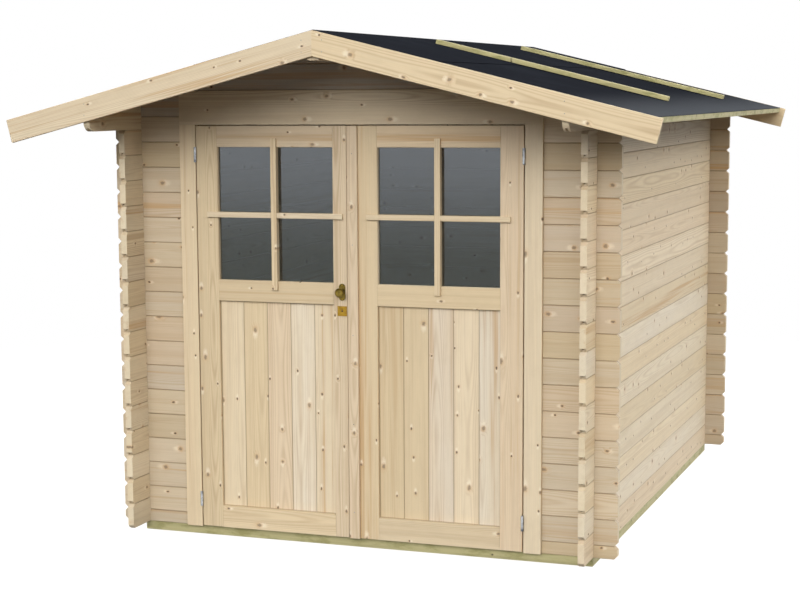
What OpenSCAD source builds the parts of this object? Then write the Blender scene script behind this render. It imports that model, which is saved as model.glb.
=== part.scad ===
// Garden shed of interlocking logs: notched corners, boarded and felted gable roof, glazed double door.
// Millimetres. X runs along the front, Y to the back, Z up. The origin is on the ground below the roof's centre.

/* [Log walls] */
// Width over the outer faces of the side walls
wall_w = 2146; // [2060:2:2600]
// Depth over the outer faces of the front and rear walls
wall_d = 2710; // [1800:10:3600]
// Thickness of a wall log
log_t = 28; // [24:1:40]
// Cover height of a wall log
log_h = 114; // [104:1:130]
// Full logs in each side wall, below the eave log
side_rows = 16; // [15:1:18]
// Reach of the side logs in front of the front wall
front_reach = 168; // [100:1:240]
// Reach of all other log ends past the crossing wall
log_reach = 104; // [60:1:200]
// Chamfer on the upper and lower corners of a log's end
end_chamfer = 15; // [0:1:25]
// Eased edge along the faces of a log
edge_ease = 3; // [1:0.5:5]
// Width of the tongue along a log
tongue_w = 9; // [6:0.5:12]
// Height of the tongue along a log
tongue_h = 8; // [4:0.5:10]
// Clearance above a tongue in its groove
tongue_clear = 5; // [1:0.5:6]
// Gap left in every wooden joint
joint_gap = 0.3; // [0.1:0.1:0.6]

/* [Base and floor] */
// Height of the ground beams and joists
beam_h = 40; // [30:1:80]
// Width of the ground beams and joists
beam_w = 60; // [45:1:90]
// Set-back of the ground beams from the wall faces
beam_setback = 4; // [0:1:10]
// Joists between the front and rear beams
joist_count = 4; // [2:1:7]
// Thickness of the floor boards
floor_t = 18; // [15:1:28]
// Gap between the floor and the walls
floor_gap = 5; // [2:1:12]

/* [Roof] */
// Pitch of the roof in degrees
pitch = 14; // [11:0.5:18]
// Height of the eave log at its outer face
eave_log_h = 122; // [100:1:150]
// Level reach of the eaves past the side walls
eave_reach = 346; // [200:1:500]
// Reach of the roof in front of the front wall
front_overhang = 500; // [300:10:700]
// Reach of the roof behind the rear wall
rear_overhang = 220; // [150:10:500]
// Radius under the ends of the eave logs
eave_log_nose = 45; // [20:1:60]
// Width of the ridge purlin
purlin_w = 55; // [40:1:80]
// Height of the ridge purlin
purlin_h = 100; // [80:1:110]
// Thickness of the roof boards
roof_board_t = 18; // [15:1:24]
// Thickness of one layer of roofing felt
felt_t = 3; // [2:0.5:5]
// Slope width of the ridge sheet of felt on each side
ridge_felt_w = 553; // [300:1:700]
// Thickness of the bargeboards
barge_t = 18; // [15:1:28]
// Depth of the bargeboards
barge_h = 102; // [90:1:140]
// Reach of the bargeboards past the eaves, down the slope
barge_reach = 28; // [0:1:60]
// Thickness of the eave strips
eave_strip_t = 20; // [12:1:30]
// Height of the eave strips
eave_strip_h = 24; // [20:1:40]
// Width of the battens on the felt
batten_w = 45; // [30:1:60]
// Thickness of the battens on the felt
batten_t = 20; // [12:1:30]
// Slope distance from the ridge to the upper batten ends
batten_start = 125; // [60:1:300]
// Slope length of the battens
batten_len = 1125; // [600:5:1150]
// Distance of the front battens from the front wall
batten_front = 720; // [200:10:900]
// Distance between the battens of one slope
batten_pitch = 1460; // [600:10:1600]

/* [Door frame] */
// Clear width between the jambs
door_clear_w = 1534; // [1400:2:1560]
// Thickness of the jambs' web and of the head
jamb_t = 36; // [28:1:45]
// Visible width of the casing beside the door
casing_w = 78; // [70:1:100]
// Thickness of the casing on the wall
casing_t = 18; // [12:1:24]
// Height of the casing over the door
head_casing_h = 150; // [100:1:165]
// Depth of the stops, seen from the opening
stop_d = 12; // [8:1:18]
// Height of the threshold above the beam
threshold_h = 26; // [22:1:40]

/* [Door leaves] */
// Thickness of a leaf
leaf_t = 40; // [36:1:46]
// Running gap round the leaves
leaf_gap = 5; // [4:0.5:8]
// Gap between the two leaves
meeting_gap = 7; // [6:0.5:10]
// Place of the gap between the leaves, left of the centre
meeting_x = 35.5; // [0:0.5:40]
// Width of the hinge stiles
stile_w = 101; // [80:1:120]
// Width from the openings of one leaf to those of the other
mullion_w = 206; // [180:1:260]
// Height of the bottom rail
bottom_rail_h = 100; // [80:1:140]
// Height of the panel opening
panel_h = 950; // [700:5:1000]
// Height of the middle and top rails
rail_h = 92; // [70:1:110]
// Thickness of the lower panel
panel_t = 12; // [9:1:16]
// Thickness of the glass
glass_t = 4; // [3:0.5:6]
// Depth of the grooves that hold the panel and glass
groove_d = 12; // [8:1:15]
// Width of the cover strip on the right leaf
strip_w = 48; // [40:1:70]
// Thickness of the cover strip
strip_t = 15; // [8:1:20]

/* [Ironmongery] */
// Height of the knob above the lower edge of the middle rail
knob_rise = 56; // [30:1:70]
// Distance of the knob's centre from the edge of the leaf
knob_inset = 24; // [22:0.5:36]
// Diameter of the knob
knob_d = 41; // [36:1:50]
// Thickness of the knob's grip
grip_t = 26; // [20:0.5:32]
// Reach of the knob from the leaf
knob_reach = 52; // [44:1:65]
// Width of the rose behind the knob
rose_w = 30; // [22:1:32]
// Height of the rose behind the knob
rose_h = 75; // [60:1:90]
// Thickness of the rose and of the lock plate
plate_t = 3; // [2:0.5:5]
// Width and height of the lock plate
lock_plate = 44; // [36:1:48]
// Distance of the lock plate from the edge of the leaf
lock_inset = 2; // [1:0.5:6]
// Distance from the knob's centre down to the lock plate's centre
lock_drop = 84; // [70:1:100]
// Diameter of a hinge barrel
barrel_d = 13; // [10:0.5:16]
// Diameter of a hinge pin
hinge_pin_d = 6; // [4:0.5:8]
// Height of one half of a hinge barrel
barrel_h = 34; // [28:1:45]
// Reach of a hinge pin into the upper barrel
pin_reach = 24; // [16:0.5:25]
// Reach of a hinge flap into the gap between a leaf and its jamb
flap_w = 28; // [20:1:34]
// Thickness of a hinge flap
flap_t = 2; // [1.5:0.5:3]
// Distance of the hinges from the ends of a leaf
hinge_inset = 128; // [90:1:220]

/* [Hidden] */
$fn = 48;
SPRUCE = [0.88, 0.77, 0.60];
SPRUCE_DOOR = [0.90, 0.80, 0.63];
TREATED = [0.67, 0.65, 0.42];
FELT = [0.16, 0.17, 0.19];
GLASS = [0.36, 0.42, 0.48, 0.45];
BRASS = [0.68, 0.52, 0.22];
STEEL = [0.80, 0.80, 0.80];
// Overshoot of cutting shapes past the faces that they cut
eps = 1;

// Walls
half_w = wall_w / 2;
inner_x = half_w - log_t;
notch_d = log_h / 4;
gable_base = beam_h + (side_rows + 0.5) * log_h;
eave_base = beam_h + side_rows * log_h;

// Roof: heights of the boards' underside, and distances above it square to the slope
ridge_under = eave_base + eave_log_h + half_w * tan(pitch);
felt_base = roof_board_t;
cap_base = felt_base + felt_t;
roof_top = cap_base + felt_t;
slope_len = (half_w + eave_reach - roof_top * sin(pitch)) / cos(pitch);
roof_len = front_overhang + wall_d + rear_overhang;
roof_front = barge_t - front_overhang;
roof_rear = wall_d + rear_overhang - barge_t;
purlin_base = ridge_under - purlin_h;
gable_rows = ceil((ridge_under - gable_base) / log_h);
// Place of the front wall's outer face, so that the roof is centred on the origin
front_y = front_overhang - roof_len / 2;

// Door frame
jamb_x = door_clear_w / 2;
stub_end = jamb_x + jamb_t + joint_gap;
casing_x = jamb_x + casing_w;
frame_front = -casing_t;
frame_rear = log_t + casing_t;
head_z = gable_base - jamb_t;
stop_front = frame_front + leaf_t + leaf_gap;

// Door leaves, measured from the hinge edge towards the meeting edge
leaf_z = beam_h + leaf_gap;
leaf_h = head_z - leaf_gap - leaf_z;
hinge_edge = jamb_x - leaf_gap;
left_leaf_w = hinge_edge - meeting_x - meeting_gap / 2;
right_leaf_w = hinge_edge + meeting_x - meeting_gap / 2;
panel_z = leaf_z + bottom_rail_h;
mid_rail_z = panel_z + panel_h;
glass_z = mid_rail_z + rail_h;
top_rail_z = leaf_z + leaf_h - rail_h;
light_end = hinge_edge - mullion_w / 2;
light_w = light_end - stile_w;
groove_w = panel_t + 2 * joint_gap;
tenon_l = groove_d - joint_gap;
leaf_mid_y = frame_front + leaf_t / 2;
knob_u = left_leaf_w - knob_inset;
knob_level = mid_rail_z + knob_rise;
lock_u = left_leaf_w - lock_inset - lock_plate / 2;
lock_level = knob_level - lock_drop;
spindle_d = 9;
keyhole_d = 8;

// Hinges
axis_x = jamb_x - leaf_gap / 2;
axis_y = frame_front - barrel_d / 2 - 2 * joint_gap;
hinge_levels = [leaf_z + hinge_inset, leaf_z + leaf_h - hinge_inset];

// Height of the roof boards' underside at a distance from the centre line
function under_roof(x) = ridge_under - abs(x) * tan(pitch);

// Puts what is drawn from the front wall's outer face at its place over the origin
module site() {
    translate([0, front_y, 0]) children();
}

// A drawing in length and height, made as thick as a log between Y = 0 and the log's inner face
module through_wall() {
    translate([0, log_t + eps, 0])
        rotate([90, 0, 0])
            linear_extrude(log_t + 2 * eps) children();
}

// A drawing across the building, drawn out from one depth to another
module along_depth(from, to) {
    translate([0, to, 0])
        rotate([90, 0, 0])
            linear_extrude(to - from) children();
}

// Cross-section of a log on Z = 0: thickness along X, tongue on top, groove below, eased edges
module log_section(h, tongue, groove) {
    top = h - joint_gap;
    mid = log_t / 2;
    slot = tongue_w / 2 + joint_gap;
    slot_h = tongue_h + tongue_clear;
    groove_points = groove
        ? [[mid - slot, 0], [mid - slot, slot_h], [mid + slot, slot_h], [mid + slot, 0]]
        : [];
    tongue_points = tongue
        ? [[mid + tongue_w / 2, top], [mid + tongue_w / 2, top + tongue_h],
           [mid - tongue_w / 2, top + tongue_h], [mid - tongue_w / 2, top]]
        : [];
    polygon(concat(
        [[edge_ease, 0]], groove_points, [[log_t - edge_ease, 0], [log_t, edge_ease]],
        [[log_t, top - edge_ease], [log_t - edge_ease, top]], tongue_points,
        [[edge_ease, top], [0, top - edge_ease], [0, edge_ease]]
    ));
}

// A length of log profile along X
module log_stock(from, to, h, tongue, groove) {
    translate([from, 0, 0])
        rotate([90, 0, 90])
            linear_extrude(to - from) log_section(h, tongue, groove);
}

// Outline of a log seen from its face, with chamfered free ends
module log_outline(from, to, h, from_chamfer, to_chamfer) {
    over = h + tongue_h + eps;
    polygon([
        [from + from_chamfer, -eps], [to - to_chamfer, -eps], [to - to_chamfer, 0], [to, to_chamfer],
        [to, h - to_chamfer], [to - to_chamfer, h], [to - to_chamfer, over],
        [from + from_chamfer, over], [from + from_chamfer, h], [from, h - from_chamfer],
        [from, from_chamfer], [from + from_chamfer, 0]
    ]);
}

// Notches for the walls that cross a log, a quarter of a log deep from below and from above
module notches(crossings, h, low, high) {
    play = joint_gap / 2;
    for (start = crossings) {
        if (low)
            translate([start - joint_gap, -2 * eps])
                square([log_t + 2 * joint_gap, notch_d + play + 2 * eps]);
        if (high)
            translate([start - joint_gap, h - notch_d - play])
                square([log_t + 2 * joint_gap, notch_d + play + tongue_h + 2 * eps]);
    }
}

// One wall log along X, with its outer face at Y = 0 and its lower edge at Z = 0
module log(from, to, crossings, h = log_h, low = true, from_chamfer = end_chamfer,
           to_chamfer = end_chamfer, groove = true) {
    intersection() {
        log_stock(from - eps, to + eps, h, true, groove);
        through_wall()
            difference() {
                log_outline(from, to, h, from_chamfer, to_chamfer);
                notches(crossings, h, low, true);
            }
    }
}

// A wall that starts with half a log: front and rear
module half_start_wall(from, to, crossings, from_chamfer = end_chamfer, to_chamfer = end_chamfer) {
    translate([0, 0, beam_h])
        log(from, to, crossings, log_h / 2, false, from_chamfer, to_chamfer, false);
    for (row = [0 : side_rows - 1])
        translate([0, 0, beam_h + (row + 0.5) * log_h])
            log(from, to, crossings, log_h, true, from_chamfer, to_chamfer);
}

// The right side wall, turned so that its outer face looks along +X
module side_wall() {
    for (row = [0 : side_rows - 1])
        translate([half_w, 0, beam_h + row * log_h])
            rotate(90)
                log(-front_reach, wall_d + log_reach, [0, wall_d - log_t], groove = row > 0);
}

// The gable's outline below the roof boards
module gable_outline() {
    reach = inner_x - joint_gap;
    difference() {
        polygon([
            [-reach, gable_base], [reach, gable_base], [reach, under_roof(reach) - joint_gap],
            [0, ridge_under - joint_gap], [-reach, under_roof(reach) - joint_gap]
        ]);
        translate([-purlin_w / 2 - joint_gap, purlin_base - joint_gap])
            square([purlin_w + 2 * joint_gap, purlin_h + eps]);
    }
}

// A gable of logs cut to the roof's slope between the eave logs
module gable() {
    for (row = [0 : gable_rows - 1]) {
        base = gable_base + row * log_h;
        intersection() {
            translate([0, 0, base])
                log_stock(-half_w, half_w, log_h, true, true);
            through_wall() gable_outline();
        }
    }
}

// A board seen from the front that lies along the right slope, between two distances above the boards'
// underside and from the ridge's centre plane to a slope distance
module slope_strip(low, high, to) {
    intersection() {
        translate([0, ridge_under])
            rotate(-pitch)
                translate([-to, low])
                    square([2 * to, high - low]);
        square([2 * slope_len, 2 * ridge_under]);
    }
}

// A board that starts away from the ridge
module slope_piece(low, high, from, to) {
    translate([0, ridge_under])
        rotate(-pitch)
            translate([from, low])
                square([to - from, high - low]);
}

// The right eave log: a log with a bevelled top, notched over both walls, with rounded ends below
module eave_log() {
    nose_cut = eave_log_nose + eps;
    site()
        intersection() {
            along_depth(roof_front, roof_rear)
                difference() {
                    translate([inner_x, eave_base])
                        square([log_t, eave_log_h + log_t]);
                    translate([inner_x + log_t / 2 - tongue_w / 2 - joint_gap, eave_base - eps])
                        square([tongue_w + 2 * joint_gap, tongue_h + tongue_clear + eps]);
                    polygon([
                        [inner_x - eps, under_roof(inner_x - eps) - joint_gap],
                        [half_w + eps, under_roof(half_w + eps) - joint_gap],
                        [half_w + eps, eave_base + 2 * eave_log_h],
                        [inner_x - eps, eave_base + 2 * eave_log_h]
                    ]);
                }
            translate([half_w, 0, eave_base])
                rotate(90)
                    through_wall()
                        difference() {
                            translate([roof_front - eps, -eps])
                                square([roof_rear - roof_front + 2 * eps, 2 * eave_log_h]);
                            notches([0, wall_d - log_t], eave_log_h, true, false);
                            translate([roof_front, 0]) nose();
                            translate([roof_rear, 0]) mirror([1, 0]) nose();
                        }
        }
}

// What is cut away below a rounded end
module nose() {
    difference() {
        translate([-2 * eps, -2 * eps])
            square(eave_log_nose + 2 * eps);
        translate([eave_log_nose, eave_log_nose])
            circle(eave_log_nose);
    }
}

module front_beam() {
    color(TREATED) site()
        translate([-half_w + beam_setback, beam_setback, 0])
            cube([wall_w - 2 * beam_setback, beam_w, beam_h]);
}

module rear_beam() {
    color(TREATED) site()
        translate([-half_w + beam_setback, wall_d - beam_setback - beam_w, 0])
            cube([wall_w - 2 * beam_setback, beam_w, beam_h]);
}

module right_beam() {
    start = beam_setback + beam_w;
    color(TREATED) site()
        translate([half_w - start, start, 0])
            cube([beam_w, wall_d - 2 * start, beam_h]);
}

module left_beam() {
    mirror([1, 0, 0]) right_beam();
}

module floor_joists() {
    clear_x = half_w - beam_setback - beam_w;
    first = beam_setback + beam_w / 2;
    step = (wall_d - 2 * first) / (joist_count + 1);
    color(TREATED) site()
        for (i = [1 : joist_count])
            translate([-clear_x, first + i * step - beam_w / 2, 0])
                cube([2 * clear_x, beam_w, beam_h]);
}

module floor_boards() {
    edge = inner_x - floor_gap;
    start = log_t + floor_gap;
    frame_cut = casing_x + floor_gap;
    color(SPRUCE_DOOR) site()
        difference() {
            translate([-edge, start, beam_h])
                cube([2 * edge, wall_d - 2 * start, floor_t]);
            translate([-frame_cut, 0, beam_h - eps])
                cube([2 * frame_cut, frame_rear + joint_gap, floor_t + 2 * eps]);
        }
}

module front_wall_left() {
    color(SPRUCE) site()
        half_start_wall(-half_w - log_reach, -stub_end, [-half_w], to_chamfer = 0);
}

module front_wall_right() {
    color(SPRUCE) site()
        half_start_wall(stub_end, half_w + log_reach, [inner_x], from_chamfer = 0);
}

module rear_wall() {
    color(SPRUCE) site()
        translate([0, wall_d, 0])
            rotate(180)
                half_start_wall(-half_w - log_reach, half_w + log_reach, [-half_w, inner_x]);
}

module right_wall() {
    color(SPRUCE) site() side_wall();
}

module left_wall() {
    color(SPRUCE) site() mirror([1, 0, 0]) side_wall();
}

module front_gable() {
    color(SPRUCE) site() gable();
}

module rear_gable() {
    color(SPRUCE) site()
        translate([0, wall_d, 0])
            rotate(180) gable();
}

module right_eave_log() {
    color(SPRUCE) eave_log();
}

module left_eave_log() {
    color(SPRUCE) mirror([1, 0, 0]) eave_log();
}

module ridge_purlin() {
    side = purlin_w / 2;
    color(SPRUCE) site()
        along_depth(roof_front, roof_rear)
            polygon([
                [-side, purlin_base], [side, purlin_base], [side, under_roof(side) - joint_gap],
                [0, ridge_under - joint_gap], [-side, under_roof(side) - joint_gap]
            ]);
}

// The right jamb: a channel that grips the ends of the wall's logs
module jamb() {
    grip = jamb_x + jamb_t;
    site()
        translate([0, 0, beam_h])
            linear_extrude(head_z - beam_h)
                polygon([
                    [jamb_x, frame_front], [casing_x, frame_front], [casing_x, -joint_gap],
                    [grip, -joint_gap], [grip, log_t + joint_gap], [casing_x, log_t + joint_gap],
                    [casing_x, frame_rear], [jamb_x, frame_rear]
                ]);
}

module right_jamb() {
    color(SPRUCE_DOOR) jamb();
}

module left_jamb() {
    color(SPRUCE_DOOR) mirror([1, 0, 0]) jamb();
}

module door_head() {
    web_x = jamb_x + jamb_t;
    color(SPRUCE_DOOR) site()
        translate([0, 0, head_z]) {
            translate([-web_x, frame_front, 0])
                cube([2 * web_x, frame_rear - frame_front, jamb_t - joint_gap]);
            translate([-casing_x, frame_front, 0])
                cube([2 * casing_x, casing_t - joint_gap, head_casing_h]);
            translate([-casing_x, log_t + joint_gap, 0])
                cube([2 * casing_x, casing_t - joint_gap, casing_w]);
        }
}

module door_stops() {
    depth = frame_rear - stop_front;
    color(SPRUCE_DOOR) site() {
        for (side = [0, 1])
            mirror([side, 0, 0])
                translate([jamb_x - stop_d, stop_front, beam_h + threshold_h + joint_gap])
                    cube([stop_d, depth, head_z - beam_h - threshold_h - joint_gap]);
        translate([-jamb_x + stop_d + joint_gap, stop_front, head_z - stop_d])
            cube([2 * (jamb_x - stop_d - joint_gap), depth, stop_d]);
    }
}

module threshold() {
    color(SPRUCE_DOOR) site()
        translate([-jamb_x + joint_gap, stop_front, beam_h])
            cube([2 * (jamb_x - joint_gap), frame_rear - stop_front, threshold_h]);
}

module right_roof_boards() {
    color(SPRUCE) site()
        along_depth(roof_front, roof_rear)
            slope_strip(0, roof_board_t, slope_len - eave_strip_t - joint_gap);
}

module left_roof_boards() {
    mirror([1, 0, 0]) right_roof_boards();
}

module right_felt() {
    color(FELT) site()
        along_depth(roof_front, roof_rear)
            slope_strip(felt_base, cap_base, slope_len);
}

module left_felt() {
    mirror([1, 0, 0]) right_felt();
}

module ridge_felt() {
    color(FELT) site()
        along_depth(roof_front, roof_rear)
            for (side = [0, 1])
                mirror([side, 0])
                    slope_strip(cap_base, roof_top, ridge_felt_w);
}

module eave_strips() {
    color(TREATED) site()
        for (side = [0, 1])
            mirror([side, 0, 0])
                along_depth(roof_front, roof_rear)
                    slope_piece(felt_base - eave_strip_h, felt_base, slope_len - eave_strip_t, slope_len);
}

module roof_battens() {
    color(TREATED) site()
        for (side = [0, 1], row = [0, 1])
            mirror([side, 0, 0])
                along_depth(batten_front + row * batten_pitch, batten_front + row * batten_pitch + batten_w)
                    slope_piece(roof_top, roof_top + batten_t, batten_start, batten_start + batten_len);
}

// A right bargeboard, flush with the felt, mitred at the ridge and cut square past the eave
module bargeboard(from) {
    site()
        along_depth(from, from + barge_t)
            slope_strip(cap_base - barge_h, cap_base, slope_len + barge_reach);
}

module front_right_bargeboard() {
    color(SPRUCE_DOOR) bargeboard(-front_overhang);
}

module front_left_bargeboard() {
    color(SPRUCE_DOOR) mirror([1, 0, 0]) bargeboard(-front_overhang);
}

module rear_right_bargeboard() {
    color(SPRUCE_DOOR) bargeboard(roof_rear);
}

module rear_left_bargeboard() {
    color(SPRUCE_DOOR) mirror([1, 0, 0]) bargeboard(roof_rear);
}

// Puts a leaf drawn from its hinge edge at the left (side -1) or right (side 1) of the doorway
module at_leaf(side) {
    site()
        mirror([side > 0 ? 1 : 0, 0, 0])
            translate([-hinge_edge, 0, 0]) children();
}

// A bar as thick as the leaf
module leaf_bar(u, z, w, h) {
    translate([u, frame_front, z])
        cube([w, leaf_t, h]);
}

// A plate in the middle of the leaf's thickness
module leaf_core(u, z, w, h, t) {
    translate([u, leaf_mid_y - t / 2, z])
        cube([w, t, h]);
}

// Both stiles of a leaf, grooved for the rails, panel and glass
module stiles(leaf_w) {
    difference() {
        leaf_bar(0, leaf_z, stile_w, leaf_h);
        leaf_core(stile_w - groove_d, leaf_z - eps, groove_d + eps, leaf_h + 2 * eps, groove_w);
    }
    difference() {
        leaf_bar(light_end, leaf_z, leaf_w - light_end, leaf_h);
        leaf_core(light_end - eps, leaf_z - eps, groove_d + eps, leaf_h + 2 * eps, groove_w);
    }
}

// One rail between the stiles, with tenons in their grooves and grooves of its own above or below
module rail(z, h, groove_below, groove_above) {
    difference() {
        union() {
            leaf_bar(stile_w + joint_gap, z, light_w - 2 * joint_gap, h);
            leaf_core(stile_w - tenon_l, z, light_w + 2 * tenon_l, h, panel_t);
        }
        if (groove_below)
            leaf_core(0, z - eps, light_end + stile_w, groove_d + eps, groove_w);
        if (groove_above)
            leaf_core(0, z + h - groove_d, light_end + stile_w, groove_d + eps, groove_w);
    }
}

module rails() {
    rail(leaf_z, bottom_rail_h, false, true);
    rail(mid_rail_z, rail_h, true, true);
    rail(top_rail_z, rail_h, true, false);
}

// What fills an opening of a leaf, held in the grooves all round
module infill(z, h, t) {
    leaf_core(stile_w - tenon_l, z - tenon_l, light_w + 2 * tenon_l, h + 2 * tenon_l, t);
}

// A round hole through the leaf
module bore_through(u, z, d) {
    translate([u, frame_front - eps, z])
        rotate([-90, 0, 0])
            cylinder(d = d, h = leaf_t + 2 * eps);
}

module left_door_stiles() {
    color(SPRUCE_DOOR) at_leaf(-1)
        difference() {
            stiles(left_leaf_w);
            bore_through(knob_u, knob_level, spindle_d + 2 * joint_gap);
            bore_through(lock_u, lock_level, keyhole_d);
        }
}

module right_door_stiles() {
    color(SPRUCE_DOOR) at_leaf(1) stiles(right_leaf_w);
}

module left_door_rails() {
    color(SPRUCE_DOOR) at_leaf(-1) rails();
}

module right_door_rails() {
    color(SPRUCE_DOOR) at_leaf(1) rails();
}

module left_door_panel() {
    color(SPRUCE_DOOR) at_leaf(-1) infill(panel_z, panel_h, panel_t);
}

module right_door_panel() {
    color(SPRUCE_DOOR) at_leaf(1) infill(panel_z, panel_h, panel_t);
}

module left_door_glass() {
    color(GLASS) at_leaf(-1) infill(glass_z, top_rail_z - glass_z, glass_t);
}

module right_door_glass() {
    color(GLASS) at_leaf(1) infill(glass_z, top_rail_z - glass_z, glass_t);
}

module cover_strip() {
    color(SPRUCE_DOOR) at_leaf(1)
        translate([right_leaf_w - strip_w, frame_front - strip_t, leaf_z])
            cube([strip_w, strip_t, leaf_h]);
}

// A knob on a rose with rounded ends, turned so that it reaches along Y from the leaf's face
module knob_and_rose() {
    // The grip is a lens: two arcs that meet at its rim
    arc_r = (pow(knob_d / 2, 2) + pow(grip_t / 2, 2)) / grip_t;
    arc_c = arc_r - grip_t / 2;
    rose_r = rose_w / 2;
    for (end = [-1, 1])
        translate([0, 0, end * (rose_h / 2 - rose_r)])
            rotate([-90, 0, 0])
                cylinder(r = rose_r, h = plate_t);
    translate([-rose_r, 0, -rose_h / 2 + rose_r])
        cube([rose_w, plate_t, rose_h - rose_w]);
    rotate([-90, 0, 0])
        rotate_extrude() {
            square([spindle_d, knob_reach - grip_t / 2]);
            translate([0, knob_reach - grip_t / 2])
                intersection() {
                    translate([0, arc_c])
                        circle(arc_r);
                    translate([0, -arc_c])
                        circle(arc_r);
                    translate([0, -knob_d])
                        square([knob_d, 2 * knob_d]);
                }
        }
}

module door_knob() {
    color(BRASS) at_leaf(-1)
        translate([knob_u, 0, knob_level]) {
            translate([0, frame_front, 0])
                mirror([0, 1, 0]) knob_and_rose();
            translate([0, frame_front + leaf_t, 0]) knob_and_rose();
            translate([0, frame_front - plate_t, 0])
                rotate([-90, 0, 0])
                    cylinder(d = spindle_d, h = leaf_t + 2 * plate_t);
        }
}

module lock_plate() {
    color(BRASS) at_leaf(-1)
        translate([lock_u, frame_front - plate_t, lock_level])
            difference() {
                translate([-lock_plate / 2, 0, -lock_plate / 2])
                    cube([lock_plate, plate_t, lock_plate]);
                translate([0, -eps, 0])
                    rotate([-90, 0, 0])
                        cylinder(d = keyhole_d, h = plate_t + 2 * eps);
            }
}

// The upper half of each hinge: a bored barrel with a flap on the leaf's edge
module leaf_hinges() {
    for (level = hinge_levels)
        translate([hinge_edge - axis_x, 0, level])
            difference() {
                union() {
                    translate([0, axis_y, joint_gap])
                        cylinder(d = barrel_d, h = barrel_h - joint_gap);
                    translate([leaf_gap / 2 - flap_t, axis_y, joint_gap])
                        cube([flap_t, frame_front + flap_w - axis_y, barrel_h - joint_gap]);
                }
                translate([0, axis_y, -eps])
                    cylinder(d = hinge_pin_d + joint_gap, h = pin_reach + 2 * eps);
            }
}

module left_door_hinges() {
    color(STEEL) at_leaf(-1) leaf_hinges();
}

module right_door_hinges() {
    color(STEEL) at_leaf(1) leaf_hinges();
}

// The lower half of each hinge, with its flap on the jamb and the pin that the leaf turns on
module frame_hinges() {
    color(STEEL) site()
        for (side = [0, 1], level = hinge_levels)
            mirror([side, 0, 0])
                translate([-axis_x, 0, level]) {
                    translate([0, axis_y, -barrel_h])
                        cylinder(d = barrel_d, h = barrel_h - joint_gap);
                    translate([0, axis_y, -barrel_h])
                        cylinder(d = hinge_pin_d, h = barrel_h + pin_reach);
                    translate([-leaf_gap / 2, axis_y, -barrel_h])
                        cube([flap_t, frame_front + flap_w - axis_y, barrel_h - joint_gap]);
                }
}

front_beam();
rear_beam();
left_beam();
right_beam();
floor_joists();
floor_boards();
front_wall_left();
front_wall_right();
rear_wall();
left_wall();
right_wall();
front_gable();
rear_gable();
left_eave_log();
right_eave_log();
ridge_purlin();
left_jamb();
right_jamb();
door_head();
door_stops();
threshold();
left_roof_boards();
right_roof_boards();
left_felt();
right_felt();
ridge_felt();
eave_strips();
roof_battens();
front_left_bargeboard();
front_right_bargeboard();
rear_left_bargeboard();
rear_right_bargeboard();
left_door_stiles();
left_door_rails();
left_door_panel();
left_door_glass();
left_door_hinges();
cover_strip();
door_knob();
lock_plate();
right_door_stiles();
right_door_rails();
right_door_panel();
right_door_glass();
right_door_hinges();
frame_hinges();
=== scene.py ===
"""Looks of a log garden shed: timber, felt, glass and ironmongery, and the joinery too fine for the solids.

Metres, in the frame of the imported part: X along the front, Y to the back, Z up, origin on the ground.
"""
import math

import bmesh
import bpy
from mathutils import Matrix, Vector


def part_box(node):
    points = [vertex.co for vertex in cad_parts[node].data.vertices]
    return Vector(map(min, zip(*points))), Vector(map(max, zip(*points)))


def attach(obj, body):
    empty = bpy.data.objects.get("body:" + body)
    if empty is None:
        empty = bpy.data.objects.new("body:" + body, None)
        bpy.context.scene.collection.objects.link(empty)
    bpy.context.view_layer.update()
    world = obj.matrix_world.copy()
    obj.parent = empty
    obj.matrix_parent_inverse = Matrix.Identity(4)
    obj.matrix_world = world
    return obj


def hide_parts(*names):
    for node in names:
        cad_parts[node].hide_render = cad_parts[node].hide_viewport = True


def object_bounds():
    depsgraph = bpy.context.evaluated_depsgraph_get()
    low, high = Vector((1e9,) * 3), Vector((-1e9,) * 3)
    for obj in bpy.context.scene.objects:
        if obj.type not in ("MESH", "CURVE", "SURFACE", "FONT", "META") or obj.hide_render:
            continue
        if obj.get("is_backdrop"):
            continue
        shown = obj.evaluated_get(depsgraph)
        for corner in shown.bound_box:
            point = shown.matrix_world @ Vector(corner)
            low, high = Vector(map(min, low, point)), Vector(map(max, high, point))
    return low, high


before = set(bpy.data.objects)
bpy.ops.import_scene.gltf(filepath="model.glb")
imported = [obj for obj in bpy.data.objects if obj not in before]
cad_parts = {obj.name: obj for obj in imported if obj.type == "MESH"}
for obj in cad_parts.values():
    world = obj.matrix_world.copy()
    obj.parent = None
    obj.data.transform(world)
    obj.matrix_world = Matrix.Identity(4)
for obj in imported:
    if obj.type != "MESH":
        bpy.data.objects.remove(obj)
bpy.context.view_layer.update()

# Pitch, sizes and spacings of the part that its boxes don't give, in metres
PITCH = math.radians(14)
LOG_H = 0.114
STILE_SPACING = {"left": 0.6405, "right": 0.676}
RAIL_SPACING = 0.87
STOP_SPACING = 1.50
JOIST_SPACING = 0.53
EAVE_SPACING = 2.9
BATTEN_SPACING = 1.46
BATTEN_FIELD_START = -1.2
BATTEN_START = 0.125
BATTEN_LEN = 1.125
BATTEN_W = 0.045
BARGE_H = 0.102
ROOF_BOARD_T = 0.018
GROOVE_HOLD = 0.0117
FIT_GAP = 0.0003

# A timber that is alone in its node counts as one board, of a width that holds it
ONE_TIMBER = 0.30
WIDE_TIMBER = 0.40
BARGE_FIELD_DROP = 0.25

# Boards: cover width, V joint and the gap between two, and which panel boards are pale
PANEL_COVER = 0.115
PANEL_JOINTS = 4
PANEL_V = 0.0018
PALE_BOARDS = {"left": (3,), "right": (2, 4)}
FLOOR_COVER = 0.112
FLOOR_V = 0.0015
FLOOR_FRAME_GAP = 0.005
ROOF_COVER = 0.0943
ROOF_V = 0.004
BOARD_GAP = 0.0004

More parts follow.
